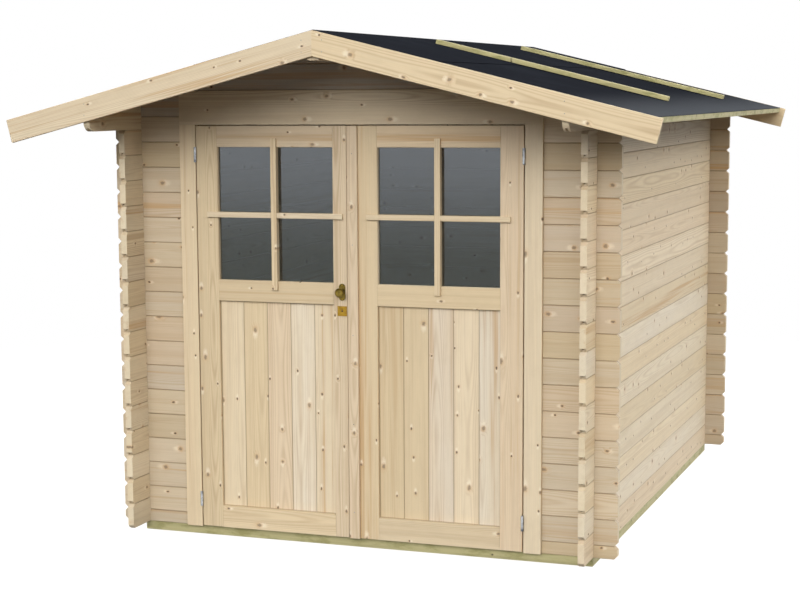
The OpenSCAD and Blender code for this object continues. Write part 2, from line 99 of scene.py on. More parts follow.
# Glazing: bars over the glass, and beads round it, which narrow towards the face of the leaf
BAR_T = 0.012
BAR_W = 0.027
BAR_H = 0.024
BAR_LEVEL = 1.484
BAR_SIDE_LAP = 0.047
BAR_END_LAP = 0.037
BAR_GLASS_GAP = 0.001
BEAD_W = 0.003
BEAD_LIP = 0.7
BEAD_SETBACK = 0.004

# Rounding of the edges of timbers, the angle from which an edge is sharp, and the reach for joining points
TIMBER_EDGE = 0.0018
BARGE_EDGE = 0.0022
SLIM_EDGE = 0.0015
SHARP_ANGLE = math.radians(35)
WELD_REACH = 1e-5
MERGE_REACH = 1e-6

# Fasteners: radii, numbers in a row, and distances from the ends and edges of what they hold
SCREW_R = 0.004
ROSE_SCREW_R = 0.003
PLATE_SCREW_R = 0.0024
NAIL_R = 0.0022
HEAD_SIDES = 10
BATTEN_SCREWS = 5
BATTEN_SCREW_INSET = 0.05
BARGE_NAIL_INSET = 0.045
BARGE_NAIL_SPREAD = 0.024
STRIP_NAILS = 5
STRIP_NAIL_INSET = 0.12
THRESHOLD_SCREWS = 4
THRESHOLD_SCREW_INSET = 0.1
FLOOR_NAIL_INSET = 0.03
FLOOR_NAIL_PARTS = (0.25, 0.75)
ROSE_SCREW_INSET = 0.007
PLATE_SCREW_INSET = 0.006

# First seeds of the timbers' random numbers, from which like pieces count on
WALL_SEED = 11
LONG_SEED = 40
BARGE_SEED = 80
EAVE_SEED = 91
BATTEN_SEED = 92
FLOOR_SEED = 97
DOOR_SEED = {"left": 120, "right": 130}
GLAZING_SEED_STEP = 2
ROOF_SEED_STEP = 5
SEED_STRIDE = 7.13
SECOND_LUCK = 0.37

# Surround: strength near the floor, in a band above it and overhead, and the heights where it rises and falls
SKY_LOW = 0.02
SKY_BAND = 2.30
SKY_TOP = 0.12
SKY_RISE = (0.02, 0.50)
SKY_FALL = (0.60, 0.75)

# Soft keys in the surround, to front and back and to the sides: strength, elevation and spread
FRONT_KEY = 7.0
SIDE_KEY = 4.8
FRONT_KEY_RISE = math.radians(20)
SIDE_KEY_RISE = math.radians(27)
KEY_SPREAD = (math.cos(math.radians(18)), math.cos(math.radians(8)))

# Key lamp: size, power in watts, the point at which it is aimed, direction and distance
LAMP_SIZE = 4.5
LAMP_POWER = 60
LAMP_AIM = (0, -0.6, 1.0)
LAMP_AZIMUTH = math.radians(30)
LAMP_RISE = math.radians(24)
LAMP_REACH = 9.5

# Floor, which fades out with distance and throws back less light than the eye sees, and a card that the panes
# mirror
FLOOR_SIDE = 60
FLOOR_DROP = 0.001
FLOOR_FADE = (2.6, 6.5)
FLOOR_COVER_SEEN = 0.55
FLOOR_GLOW = 0.5
FLOOR_LIT = "303030"
FLOOR_SEEN = "ececec"
CARD_X = -4.2
CARD_Y = -12.0
CARD_W = 9.0
CARD_TOP = 1.7
CARD_DROP = 0.4
CARD_FADE = (0.1, 1.5)
CARD_LOW = "8f8e74"
CARD_HIGH = "f4f8fb"

# Camera: fitted to the photograph's frame of 800 x 600 pixels
IMAGE_W = 800
CAMERA_PLACE = (2.827, -8.625, 2.019)
CAMERA_AZIMUTH = math.radians(20.80)
CAMERA_PITCH = math.radians(-7.76)
CAMERA_ROLL = math.radians(-0.455)
CAMERA_FOCAL_PIXELS = 1810
CAMERA_SHIFT_PIXELS = (40, 40)
SENSOR_W = 36


def srgb(code):
    """A colour written as six hex digits, as Blender's linear RGBA."""
    parts = [int(code[i:i + 2], 16) / 255 for i in (0, 2, 4)]
    linear = [c / 12.92 if c <= 0.04045 else ((c + 0.055) / 1.055) ** 2.4 for c in parts]
    return (*linear, 1.0)


class Shader:
    """Builds one material's nodes with short calls."""

    def __init__(self, name, block=None, surface="Principled BSDF"):
        self.material = block or bpy.data.materials.new(name)
        self.material.use_nodes = True
        self.tree = self.material.node_tree
        self.surface = self.tree.nodes[surface]

    def feed(self, socket, value):
        if isinstance(value, bpy.types.NodeSocket):
            self.tree.links.new(value, socket)
        else:
            socket.default_value = value

    def node(self, kind, settings=None, **inputs):
        made = self.tree.nodes.new("ShaderNode" + kind)
        for key, value in (settings or {}).items():
            setattr(made, key, value)
        for key, value in inputs.items():
            self.feed(made.inputs[key], value)
        return made

    def math(self, operation, *values):
        made = self.node("Math", {"operation": operation})
        for socket, value in zip(made.inputs, values):
            self.feed(socket, value)
        return made.outputs[0]

    def add(self, a, b):
        return self.math("ADD", a, b)

    def times(self, a, b):
        return self.math("MULTIPLY", a, b)

    def span(self, value, low, high, to_low=0.0, to_high=1.0):
        """A smooth step from one range to another."""
        made = self.node("MapRange", {"interpolation_type": "SMOOTHSTEP"})
        for socket, number in zip(made.inputs, (value, low, high, to_low, to_high)):
            self.feed(socket, number)
        return made.outputs[0]

    def mix(self, factor, a, b, how="MIX"):
        made = self.node("Mix", {"data_type": "RGBA", "blend_type": how})
        self.feed(made.inputs[0], factor)
        self.feed(made.inputs[6], a)
        self.feed(made.inputs[7], b)
        return made.outputs[2]

    def vector(self, x, y, z):
        return self.node("CombineXYZ", X=x, Y=y, Z=z).outputs[0]

    def split(self, value):
        return self.node("SeparateXYZ", Vector=value).outputs

    def luck(self, number):
        """Three random numbers that belong to a number."""
        made = self.node("TexWhiteNoise", {"noise_dimensions": "1D"}, W=number)
        return self.split(made.outputs["Color"])

    def cloud(self, place, scale=1.0, detail=2.0, roughness=0.5):
        made = self.node("TexNoise", Vector=place, Scale=scale, Detail=detail, Roughness=roughness)
        return made.outputs["Fac"]

    def seen(self):
        """1 for rays from the camera, or by way of metal and glass, and 0 for rays that light the object."""
        path = self.node("LightPath").outputs
        shiny = self.math("MAXIMUM", path["Is Glossy Ray"], path["Is Transmission Ray"])
        return self.math("MAXIMUM", path["Is Camera Ray"], shiny)

    def bump(self, height, strength, distance):
        made = self.node("Bump", Height=height, Strength=strength, Distance=distance)
        self.feed(self.surface.inputs["Normal"], made.outputs[0])

    def finish(self, **inputs):
        for key, value in inputs.items():
            self.feed(self.surface.inputs[key.replace("_", " ")], value)
        return self.material


# Looks of the timbers: colours, strength of streaks and mottling, share of cells with a knot, strength of the
# knots' flares and of the painted shade on upward faces, the least size of a knot and what is added to it at
# most
SPRUCE = dict(pale="e3d4b8", warm="dbc8a6", rosy="ddc9ac", white="e0d5c4", late="b0926c", heart="c49a66",
              knot="3f2b1c", halo="ebdfc7", end="dacbad", joint="937c5f", mottled="b3a07e", streak=0.22,
              knots=0.50, mottle=0.10, flare=0.50, upward_shade=0.35, knot_size=(0.0050, 0.0052))
# Painted shade: darker copies of the spruce for the front and rear walls, darker and cooler for the front
# gable
SHADED = dict(SPRUCE, pale="cebea4", warm="c6b392", rosy="c9b59a", white="ccc0ae")
SHADED_GABLE = dict(SHADED, pale="c9c1b5", warm="c0b6a6", rosy="c4b9aa", white="cac4bb")
PLANED = dict(SPRUCE, pale="dfceb0", warm="d9c49f", rosy="dcc5a6", white="e3dccf", knots=0.62,
              flare=0.75, upward_shade=0.0, knot_size=(0.0042, 0.0052))
BARGE = dict(PLANED, knots=0.50, streak=0.28)
# Painted shade: a darker copy of the spruce for the roof boards, which show only in the shade under the roof
SHADED_ROUGH = dict(SPRUCE, pale="a79579", warm="9d896a", rosy="a08b70", white="a89b86", halo="b3a489")
TREATED = dict(pale="c3bb8e", warm="b5ad78", rosy="b1a672", white="c0b88e", late="887f53", heart="968a58",
               knot="4c452c", halo="bdb58c", end="b0a878", joint="6f6846", mottled="89864b", streak=0.40,
               knots=0.25, mottle=0.70, flare=0.3, upward_shade=0.0, knot_size=(0.0048, 0.0095))

# Knot cells to a metre and their squeeze along the grain, and width and strength of the dark joints
KNOT_CELLS = 8.5
KNOT_STRETCH = 0.8
TIMBER_JOINT = (0.0035, 0.6)
WALL_JOINT = (0.0035, 0.58)
PANEL_JOINT = (0.003, 0.55)


def knots(s, look, place, run, level):
    """Knots in random cells, of which a share holds one: masks of the dark pip, the brown disc round it, the
    swollen grain and the pale flare to one side along the grain, and how dark and how brown each knot is."""
    spot = s.vector(s.times(run, KNOT_STRETCH), level, 0.0)
    flat = {"voronoi_dimensions": "2D"}
    cell_inputs = dict(Vector=spot, Scale=KNOT_CELLS, Randomness=0.8)
    cells = s.node("TexVoronoi", flat, **cell_inputs).outputs
    border = s.node("TexVoronoi", dict(flat, feature="DISTANCE_TO_EDGE"), **cell_inputs).outputs["Distance"]
    here, middle = s.split(spot), s.split(cells["Position"])
    along = s.times(s.math("SUBTRACT", here[0], middle[0]), 1 / KNOT_STRETCH)
    aside = s.math("SUBTRACT", here[1], middle[1])
    chance, bulk, turn = s.split(cells["Color"])
    present = s.times(s.math("LESS_THAN", chance, look["knots"]), s.span(border, 0.0, 0.10))
    least, spread = look["knot_size"]
    size = s.add(s.times(s.math("POWER", bulk, 2.0), spread), least)
    ragged = s.times(s.add(s.cloud(place, 120.0, 3.0, 0.6), -0.5), 1.3)
    longish = s.span(chance, 0.0, look["knots"], 0.7, 1.0)

    def oval(shift, stretch):
        """Distance from a point beside the knot's middle, in sizes of the knot, longer along the grain."""
        lengthwise = s.times(s.times(s.add(along, s.times(size, shift)), longish), 1 / stretch)
        away = s.math("SQRT", s.add(s.times(lengthwise, lengthwise), s.times(aside, aside)))
        return s.add(s.math("DIVIDE", away, size), ragged)

    core = oval(0.0, 1.15)
    lean = s.span(turn, 0.45, 0.55, -1.5, 1.5)
    return {
        "pip": s.times(present, s.span(core, 0.45, 1.05, 1.0, 0.0)),
        "disc": s.times(present, s.span(core, 0.9, 1.6, 1.0, 0.0)),
        "swell": s.times(present, s.span(core, 0.9, 3.2, 1.0, 0.0)),
        "flare": s.times(present, s.span(oval(lean, 1.7), 0.5, 1.9, 1.0, 0.0)),
        "dark": s.span(bulk, 0.1, 0.9, 0.92, 0.55),
        "brown": s.span(bulk, 0.0, 1.0, 0.05, 0.18),
    }


def late_wood(s, wander, across, depth, first, second, swell):
    """Growth rings round a pith that wanders along the board, bent round the knots."""
    pith_across = s.times(s.add(first[2], -0.5), 0.14)
    pith_depth = s.add(s.times(second[0], 0.07), 0.022)
    out = s.add(s.add(across, pith_across), s.times(wander, 0.035))
    back = s.add(s.add(depth, pith_depth), s.times(wander, 0.06))
    radius = s.math("SQRT", s.add(s.times(out, out), s.times(back, back)))
    radius = s.add(radius, s.times(swell, 0.004))
    ring_pitch = s.add(s.times(second[1], 0.0026), 0.0026)
    wave = s.math("SINE", s.math("DIVIDE", s.times(radius, 2 * math.pi), ring_pitch))
    return s.math("POWER", s.add(s.times(wave, 0.5), 0.5), 2.2)


def timber(name, look, grain, stack, width, start, depth_mid, seed, tilt=0.0, joint=TIMBER_JOINT, shaded_rim=None,
           pale_rows=None):
    """Sawn softwood whose boards lie side by side: growth rings round a pith, fibres, knots and end grain.

    grain is the axis along the boards, stack the axis across them, width and start the boards' spacing,
    tilt the slope about Y, joint the width and strength of the dark line along the boards' edges. shaded_rim
    gives the ends of the field along the grain and across it, near which the boards get painted shade against
    the frame.
    pale_rows are the boards that are paler than the rest, counted from start. If it is None, they are chosen
    by chance.
    """
    s = Shader(name)
    coords = s.node("TexCoord")
    place, facing = coords.outputs["Object"], coords.outputs["Normal"]
    if tilt:
        place, facing = (
            s.node("VectorRotate", {"rotation_type": "Y_AXIS"}, Vector=v, Angle=tilt).outputs[0]
            for v in (place, facing)
        )
    axes = dict(zip("XYZ", s.split(place)))
    faces = dict(zip("XYZ", s.split(facing)))
    depth_axis = ({"X", "Y", "Z"} - {grain, stack}).pop()

    # The board, random numbers that belong to it, and the place in it
    row = s.math("FLOOR", s.math("DIVIDE", s.math("SUBTRACT", axes[stack], start), width))
    first = s.luck(s.add(row, seed * SEED_STRIDE))
    second = s.luck(s.add(row, seed * SEED_STRIDE + SECOND_LUCK))
    middle = s.add(s.times(s.add(row, 0.5), width), start)
    across = s.math("SUBTRACT", axes[stack], middle)
    depth = s.math("SUBTRACT", axes[depth_axis], depth_mid)
    run = s.add(axes[grain], s.times(first[0], 23.0))

    def drawn_out(lengthwise, crosswise, detail, roughness=0.5):
        """Noise that is drawn out along the grain."""
        spot = s.vector(s.times(run, lengthwise), s.times(across, crosswise), s.times(depth, crosswise))
        return s.cloud(spot, 1.0, detail, roughness)

    knot = knots(s, look, place, run, s.add(axes[stack], s.times(first[1], 11.0)))
    wander = s.add(drawn_out(0.55, 2.0, 2.0), -0.5)
    late = late_wood(s, wander, across, depth, first, second, knot["swell"])
    fibre = drawn_out(4.0, 330.0, 2.0, 0.6)
    streak = drawn_out(0.6, 34.0, 3.0, 0.6)
    blotch = drawn_out(9.0, 24.0, 4.0, 0.65)
    patch = s.cloud(s.vector(s.times(run, 1.3), s.times(across, 7.0), depth))

    # Tone of the board, and the boards that are paler
    tone = s.mix(s.span(second[2], 0.1, 0.9), srgb(look["pale"]), srgb(look["warm"]))
    tone = s.mix(s.span(first[0], 0.55, 0.95, 0.0, 0.8), tone, srgb(look["rosy"]))
    if pale_rows is None:
        chosen = [s.span(first[1], 0.72, 0.9)]
    else:
        chosen = [s.math("COMPARE", row, float(number), 0.5) for number in pale_rows]
    for whiter in chosen:
        tone = s.mix(s.times(whiter, s.span(patch, 0.3, 0.7, 0.22, 0.5)), tone, srgb(look["white"]))

    # Streaks, heartwood, mottling, late wood and end grain
    tone = s.mix(s.span(streak, 0.48, 0.72, 0.0, look["streak"]), tone, srgb(look["late"]))
    hearted = s.times(s.span(first[2], 0.5, 0.85), s.span(streak, 0.54, 0.70))
    tone = s.mix(s.times(hearted, 0.65), tone, srgb(look["heart"]))
    tone = s.mix(s.span(blotch, 0.44, 0.68, 0.0, look["mottle"]), tone, srgb(look["mottled"]))
    bold = s.span(second[0], 0.72, 0.92, 0.0, 0.22)
    tone = s.mix(s.times(late, s.add(s.span(streak, 0.3, 0.6, 0.07, 0.28), bold)), tone, srgb(look["late"]))
    facing_end = s.math("ABSOLUTE", faces[grain])
    tone = s.mix(s.span(facing_end, 0.7, 0.95, 0.0, 0.45), tone, srgb(look["end"]))

    # Knots
    tone = s.mix(s.times(knot["swell"], knot["brown"]), tone, srgb(look["heart"]))
    tone = s.mix(s.times(knot["flare"], look["flare"]), tone, srgb(look["halo"]))
    tone = s.mix(s.times(knot["disc"], 0.5), tone, srgb(look["heart"]))
    tone = s.mix(s.times(knot["pip"], knot["dark"]), tone, srgb(look["knot"]))

    # Dark joints, and painted shade on upward faces and along the ends of a panel's field, against the frame
    reach, strength = joint
    edge = s.span(s.math("ABSOLUTE", across), width / 2 - reach, width / 2 - reach / 3, 0.0, strength)
    # Painted shade in the recess: the field is darker within a few millimetres of its ends
    if shaded_rim:
        inside = s.math("MINIMUM",
                        *(s.math("MINIMUM", s.math("SUBTRACT", axes[axis], rim_low),
                                 s.math("SUBTRACT", rim_high, axes[axis]))
                          for axis, rim_low, rim_high in ((grain, *shaded_rim[:2]), (stack, *shaded_rim[2:]))))
        edge = s.math("MAXIMUM", edge, s.span(inside, 0.001, 0.007, 0.75, 0.0))
    # Painted shade: faces that look upwards are darker
    if look["upward_shade"]:
        edge = s.math("MAXIMUM", edge, s.span(faces["Z"], 0.2, 0.6, 0.0, look["upward_shade"]))
    tone = s.mix(edge, tone, srgb(look["joint"]))
    shade = s.add(s.span(fibre, 0.25, 0.75, 0.95, 1.03), s.times(s.add(second[1], -0.5), 0.10))
    tone = s.mix(1.0, tone, s.vector(shade, shade, shade), "MULTIPLY")

    height = s.add(s.times(fibre, 0.6), s.add(s.times(late, 0.3), s.times(knot["pip"], 0.5)))
    s.bump(height, 0.35, 0.0006)
    return s.finish(Base_Color=tone, Roughness=s.span(fibre, 0.2, 0.8, 0.52, 0.72))


def felt_material():
    """Charcoal roofing felt with fine mineral grit and faint trodden patches, and a painted sheen towards the
    eaves.
    """
    s = Shader("roofing_felt")
    place = s.node("TexCoord").outputs["Object"]
    grit = s.cloud(place, 900.0, 3.0, 0.7)
    patch = s.cloud(place, 3.2, 4.0, 0.6)
    speck = s.node("TexVoronoi", Vector=place, Scale=620.0).outputs["Distance"]
    tone = s.mix(s.span(grit, 0.3, 0.7), srgb("191b1f"), srgb("27292f"))
    tone = s.mix(s.span(patch, 0.45, 0.75, 0.0, 0.35), tone, srgb("2c2f35"))
    # Painted sheen: the felt is lighter and greyer towards the eaves, away from the ridge
    sheen_from_ridge = s.math("ABSOLUTE", s.split(place)[0])
    tone = s.mix(s.span(sheen_from_ridge, 1.0, 1.45, 0.0, 0.70), tone, srgb("56595d"))
    tone = s.mix(s.span(speck, 0.08, 0.2, 0.35, 0.0), tone, srgb("474b53"))
    s.bump(s.add(grit, s.times(speck, -0.6)), 0.5, 0.0012)
    return s.finish(Base_Color=tone, Roughness=s.span(patch, 0.3, 0.7, 0.85, 0.95), Specular_IOR_Level=0.0)


def glass_material():
    """Faintly blue-grey glass that mirrors more than plain panes do, with a trace of dust."""
    s = Shader("pane_glass")
    place = s.node("TexCoord").outputs["Object"]
    dust = s.cloud(place, 5.0, 4.0, 0.6)
    tone = s.mix(s.span(dust, 0.45, 0.75, 0.0, 0.4), srgb("a9b4c0"), srgb("97a3b1"))
    roughness = s.span(dust, 0.4, 0.8, 0.0, 0.05)
    return s.finish(Base_Color=tone, Roughness=roughness, Transmission_Weight=1.0, IOR=2.05)


def metal_material(name, pale, dark, rough_low, rough_high):
    """Metal with fine brushing, tarnish in patches and handled highlights."""
    s = Shader(name)
    place = s.node("TexCoord").outputs["Object"]
    tarnish = s.cloud(place, 46.0, 4.0, 0.6)
    scaled = s.node("VectorMath", {"operation": "MULTIPLY"})
    s.feed(scaled.inputs[0], place)
    scaled.inputs[1].default_value = (1800, 1800, 60)
    brush = s.cloud(scaled.outputs[0], 1.0, 2.0)
    tone = s.mix(s.span(tarnish, 0.35, 0.7), srgb(pale), srgb(dark))
    s.bump(s.add(brush, s.times(tarnish, 2.0)), 0.15, 0.0003)
    return s.finish(Base_Color=tone, Metallic=1.0, Roughness=s.span(tarnish, 0.3, 0.7, rough_low, rough_high))


class Solids:
    """Collects closed solids, or sheets, into one mesh."""

    def __init__(self):
        self.points = []
        self.faces = []

    def prism(self, outline, start, end, place):
        """A flat outline drawn out from start to end. start and end are distances, or functions of the
        outline's point for slanted ends. place turns (a, b, distance) into a point."""
        base = len(self.points)
        count = len(outline)
        for reach in (start, end):
            for a, b in outline:
                distance = reach(a, b) if callable(reach) else reach
                self.points.append(place(a, b, distance))
        self.faces.append([base + i for i in reversed(range(count))])
        self.faces.append([base + count + i for i in range(count)])
        for i in range(count):
            j = (i + 1) % count
            self.faces.append([base + i, base + j, base + count + j, base + count + i])

    def grid(self, rows, columns, point):
        """A sheet of quads: point(i, j) for 0 <= i <= rows and 0 <= j <= columns."""
        base = len(self.points)
        for i in range(rows + 1):
            for j in range(columns + 1):
                self.points.append(point(i, j))
        step = columns + 1
        for i in range(rows):
            for j in range(columns):
                corner = base + i * step + j
                self.faces.append([corner, corner + 1, corner + step + 1, corner + step])

    def lathe(self, profile, steps, place):
        """A profile of radii and heights turned round an axis, from the axis back to it. place turns
        (a, b, height) into a point."""
        rings = []
        for radius, height in profile:
            start = len(self.points)
            if radius:
                turns = [2 * math.pi * k / steps for k in range(steps)]
                self.points += [place(radius * math.cos(t), radius * math.sin(t), height) for t in turns]
                rings.append([start + k for k in range(steps)])
            else:
                self.points.append(place(0.0, 0.0, height))
                rings.append([start] * steps)
        for inner, outer in zip(rings, rings[1:]):
            for k in range(steps):
                corners = [inner[k], inner[(k + 1) % steps], outer[(k + 1) % steps], outer[k]]
                self.faces.append(list(dict.fromkeys(corners)))

    def mesh(self, name):
        made = bpy.data.meshes.new(name)
        made.from_pydata([tuple(p) for p in self.points], [], self.faces)
        work = bmesh.new()
        work.from_mesh(made)
        bmesh.ops.remove_doubles(work, verts=work.verts, dist=MERGE_REACH)
        bmesh.ops.recalc_face_normals(work, faces=work.faces)
        work.to_mesh(made)
        work.free()
        return made


def add_piece(name, solids, body, slot, material, *nodes):
    """A new piece that rides on a body, takes the given material and stands for the named nodes. slot is not
    used.
    """
    piece = bpy.data.objects.new(name, solids.mesh(name))
    bpy.context.scene.collection.objects.link(piece)
    piece.data.materials.append(material)
    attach(piece, body)
    if nodes:
        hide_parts(*nodes)
    return piece


def soften(piece, width, segments=2):
    """Rounds the sharp edges of a piece or node by a small width."""
    weld = piece.modifiers.new("weld", "WELD")
    weld.merge_threshold = WELD_REACH
    bevel = piece.modifiers.new("soft_edges", "BEVEL")
    bevel.width = width
    bevel.segments = segments
    bevel.limit_method = "ANGLE"
    bevel.angle_limit = SHARP_ANGLE
    normals = piece.modifiers.new("even_normals", "WEIGHTED_NORMAL")
    normals.keep_sharp = False


def dress(node, material):
    """Gives a node its material."""
    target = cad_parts[node]
    target.data.materials.clear()
    target.data.materials.append(material)
    return target


def centre(node):
    low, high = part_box(node)
    return (low + high) / 2


# Walls: grain, share of a log by which the rows are raised above the beams, and look
beam_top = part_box("front_beam")[1].z
WALLS = {
    "front_wall_left": ("X", 0.5, SHADED), "front_wall_right": ("X", 0.5, SHADED),
    "rear_wall": ("X", 0.5, SHADED), "front_gable": ("X", 0.5, SHADED_GABLE), "rear_gable": ("X", 0.5, SPRUCE),
    "left_wall": ("Y", 0.0, SPRUCE), "right_wall": ("Y", 0.0, SPRUCE),
}
for seed, (node, (grain, rows_up, look)) in enumerate(WALLS.items()):
    mid = centre(node)
    depth_mid = mid.y if grain == "X" else mid.x
    dress(node, timber(node, look, grain, "Z", LOG_H, beam_top + rows_up * LOG_H,
                                      depth_mid, WALL_SEED + seed, joint=WALL_JOINT))

# Long timbers: grain axis, axis across and spacing of the pieces in the node, look and slot
LONG_TIMBERS = {
    "left_eave_log": ("Y", "Z", ONE_TIMBER, SPRUCE, "wall_spruce"),
    "right_eave_log": ("Y", "Z", ONE_TIMBER, SPRUCE, "wall_spruce"),
    "ridge_purlin": ("Y", "Z", ONE_TIMBER, SPRUCE, "wall_spruce"),
    "left_jamb": ("Z", "X", ONE_TIMBER, PLANED, "planed_spruce"),
    "right_jamb": ("Z", "X", ONE_TIMBER, PLANED, "planed_spruce"),
    "door_head": ("X", "Z", WIDE_TIMBER, PLANED, "planed_spruce"),
    "door_stops": ("Z", "X", STOP_SPACING, PLANED, "planed_spruce"),
    "threshold": ("X", "Y", ONE_TIMBER, PLANED, "planed_spruce"),
    "left_door_stiles": ("Z", "X", STILE_SPACING["left"], PLANED, "planed_spruce"),
    "right_door_stiles": ("Z", "X", STILE_SPACING["right"], PLANED, "planed_spruce"),
    "left_door_rails": ("X", "Z", RAIL_SPACING, PLANED, "planed_spruce"),
    "right_door_rails": ("X", "Z", RAIL_SPACING, PLANED, "planed_spruce"),
    "cover_strip": ("Z", "X", ONE_TIMBER, PLANED, "planed_spruce"),
    "front_beam": ("X", "Z", ONE_TIMBER, TREATED, "treated_pine"),
    "rear_beam": ("X", "Z", ONE_TIMBER, TREATED, "treated_pine"),
    "left_beam": ("Y", "Z", ONE_TIMBER, TREATED, "treated_pine"),
    "right_beam": ("Y", "Z", ONE_TIMBER, TREATED, "treated_pine"),
    "floor_joists": ("X", "Y", JOIST_SPACING, TREATED, "treated_pine"),
}
for seed, (node, (grain, stack, width, look, slot)) in enumerate(LONG_TIMBERS.items()):
    low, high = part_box(node)
    index = "XYZ".index(stack)
    depth_index = ({0, 1, 2} - {index, "XYZ".index(grain)}).pop()
    pieces = round((high[index] - low[index]) / width) + 1
    start = (low[index] + high[index]) / 2 - pieces * width / 2
    made = timber(node, look, grain, stack, width, start, (low + high)[depth_index] / 2, LONG_SEED + seed,
                  pale_rows=())
    soften(dress(node, made), TIMBER_EDGE)

# Bargeboards, eave strips and battens
SIDES = (("left", -1), ("right", 1))
bargeboards = [(end + "_" + side + "_bargeboard", sign) for end in ("front", "rear") for side, sign in SIDES]
for seed, (node, sign) in enumerate(bargeboards):
    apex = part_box(node)[1].z * math.cos(PITCH)
    made = timber(node, BARGE, "X", "Z", WIDE_TIMBER, apex - BARGE_FIELD_DROP, centre(node).y,
                  BARGE_SEED + seed, -sign * PITCH, pale_rows=())
    soften(dress(node, made), BARGE_EDGE)
eave_wood = timber("eave_strips", TREATED, "Y", "X", EAVE_SPACING, -EAVE_SPACING, centre("eave_strips").z,
                   EAVE_SEED)
soften(dress("eave_strips", eave_wood), SLIM_EDGE)
batten_wood = timber("roof_battens", TREATED, "X", "Y", BATTEN_SPACING, BATTEN_FIELD_START,
                     centre("roof_battens").z, BATTEN_SEED)
soften(dress("roof_battens", batten_wood), TIMBER_EDGE)

# Felt, glass and ironmongery
felt = felt_material()
glass = glass_material()
brass = metal_material("aged_brass", "b08c34", "8a6a2c", 0.30, 0.5)
dark_brass = metal_material("handled_brass", "8a7636", "554a28", 0.32, 0.5)
steel = metal_material("hinge_steel", "b4b7bb", "63666a", 0.22, 0.4)
for node in ("left_felt", "right_felt", "ridge_felt"):
    dress(node, felt)
for side in ("left", "right"):
    dress(side + "_door_glass", glass)
    dress(side + "_door_hinges", steel)
dress("frame_hinges", steel)
dress("door_knob", dark_brass)
dress("lock_plate", brass)


def door_panel(side, seed):
    """The lower panel of a leaf: upright boards with V joints on both faces."""
    node = side + "_door_panel"
    low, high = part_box(node)
    joints = [low.x + GROOVE_HOLD + PANEL_COVER * (i + 1) for i in range(PANEL_JOINTS)]
    edges = [low.x, *joints, high.x]
    boards = Solids()
    for left, right in zip(edges, edges[1:]):
        a, b = left + BOARD_GAP / 2, right - BOARD_GAP / 2
        outline = [(a + PANEL_V, low.y), (b - PANEL_V, low.y), (b, low.y + PANEL_V), (b, high.y - PANEL_V),
                   (b - PANEL_V, high.y), (a + PANEL_V, high.y), (a, high.y - PANEL_V), (a, low.y + PANEL_V)]
        boards.prism(outline, low.z, high.z, lambda x, y, z: (x, y, z))
    # Ends of the field, near which the boards get painted shade
    shaded_rim = (low.z + GROOVE_HOLD, high.z - GROOVE_HOLD, low.x + GROOVE_HOLD, high.x - GROOVE_HOLD)
    material = timber(node, PLANED, "Z", "X", PANEL_COVER, low.x + GROOVE_HOLD, (low.y + high.y) / 2, seed,
                      joint=PANEL_JOINT, shaded_rim=shaded_rim, pale_rows=PALE_BOARDS[side])
    add_piece(side + "_panel_boards", boards, side + "_door", "planed_spruce", material, node)


def glazing(side, seed):
    """Glazing bars on the outside of a leaf, down to the glass, and beads round the glass on both faces."""
    low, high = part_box(side + "_door_glass")
    hold = Vector((GROOVE_HOLD, 0, GROOVE_HOLD))
    low, high = low + hold, high - hold
    leaf_low, leaf_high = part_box(side + "_door_stiles")
    face, inner = leaf_low.y, leaf_high.y
    middle = (low.x + high.x) / 2
    body = side + "_door"
    back = low.y - BAR_GLASS_GAP
    near, far = middle - BAR_W / 2, middle + BAR_W / 2
    bottom, top = low.z + BEAD_W, high.z - BEAD_W
    upright = Solids()
    upright.prism([(low.z - BAR_END_LAP, face - BAR_T), (high.z + BAR_END_LAP, face - BAR_T),
                   (high.z + BAR_END_LAP, face), (top, face), (top, back), (bottom, back), (bottom, face),
                   (low.z - BAR_END_LAP, face)], near, far, lambda z, y, x: (x, y, z))
    upright_wood = timber(side + "_upright_bar", PLANED, "Z", "X", ONE_TIMBER, middle - ONE_TIMBER / 2, face,
                          seed, pale_rows=())
    soften(add_piece(side + "_upright_bar", upright, body, "planed_spruce", upright_wood), SLIM_EDGE)
    cross = Solids()
    for outer, inner_end, stop in ((low.x - BAR_SIDE_LAP, near - BOARD_GAP, low.x + BEAD_W),
                                   (high.x + BAR_SIDE_LAP, far + BOARD_GAP, high.x - BEAD_W)):
        outline = [(outer, face - BAR_T), (inner_end, face - BAR_T), (inner_end, back), (stop, back),
                   (stop, face), (outer, face)]
        cross.prism(outline, BAR_LEVEL - BAR_H / 2, BAR_LEVEL + BAR_H / 2, lambda x, y, z: (x, y, z))
    cross_wood = timber(side + "_cross_bars", PLANED, "X", "Z", ONE_TIMBER, BAR_LEVEL - ONE_TIMBER / 2, face,
                        seed + 1, pale_rows=())
    soften(add_piece(side + "_cross_bars", cross, body, "planed_spruce", cross_wood), SLIM_EDGE)

    beads = Solids()
    for glass_face, edge in ((low.y, face + BEAD_SETBACK), (high.y, inner - BEAD_SETBACK)):
        section = [(0, glass_face), (BEAD_W, glass_face), (BEAD_W * BEAD_LIP, edge), (0, edge)]
        for z, sign in ((low.z, 1), (high.z, -1)):
            beads.prism(section, lambda a, b: low.x + a, lambda a, b: high.x - a,
                        lambda a, y, x, z=z, sign=sign: (x, y, z + sign * a))
        for x, sign in ((low.x, 1), (high.x, -1)):
            beads.prism(section, lambda a, b: low.z + a, lambda a, b: high.z - a,
                        lambda a, y, z, x=x, sign=sign: (x + sign * a, y, z))
    bead_wood = timber(body + "_beads", PLANED, "Z", "X", 2 * ONE_TIMBER, middle - ONE_TIMBER, face, seed + 2,
                       pale_rows=())
    add_piece(side + "_glazing_beads", beads, body, "planed_spruce", bead_wood)


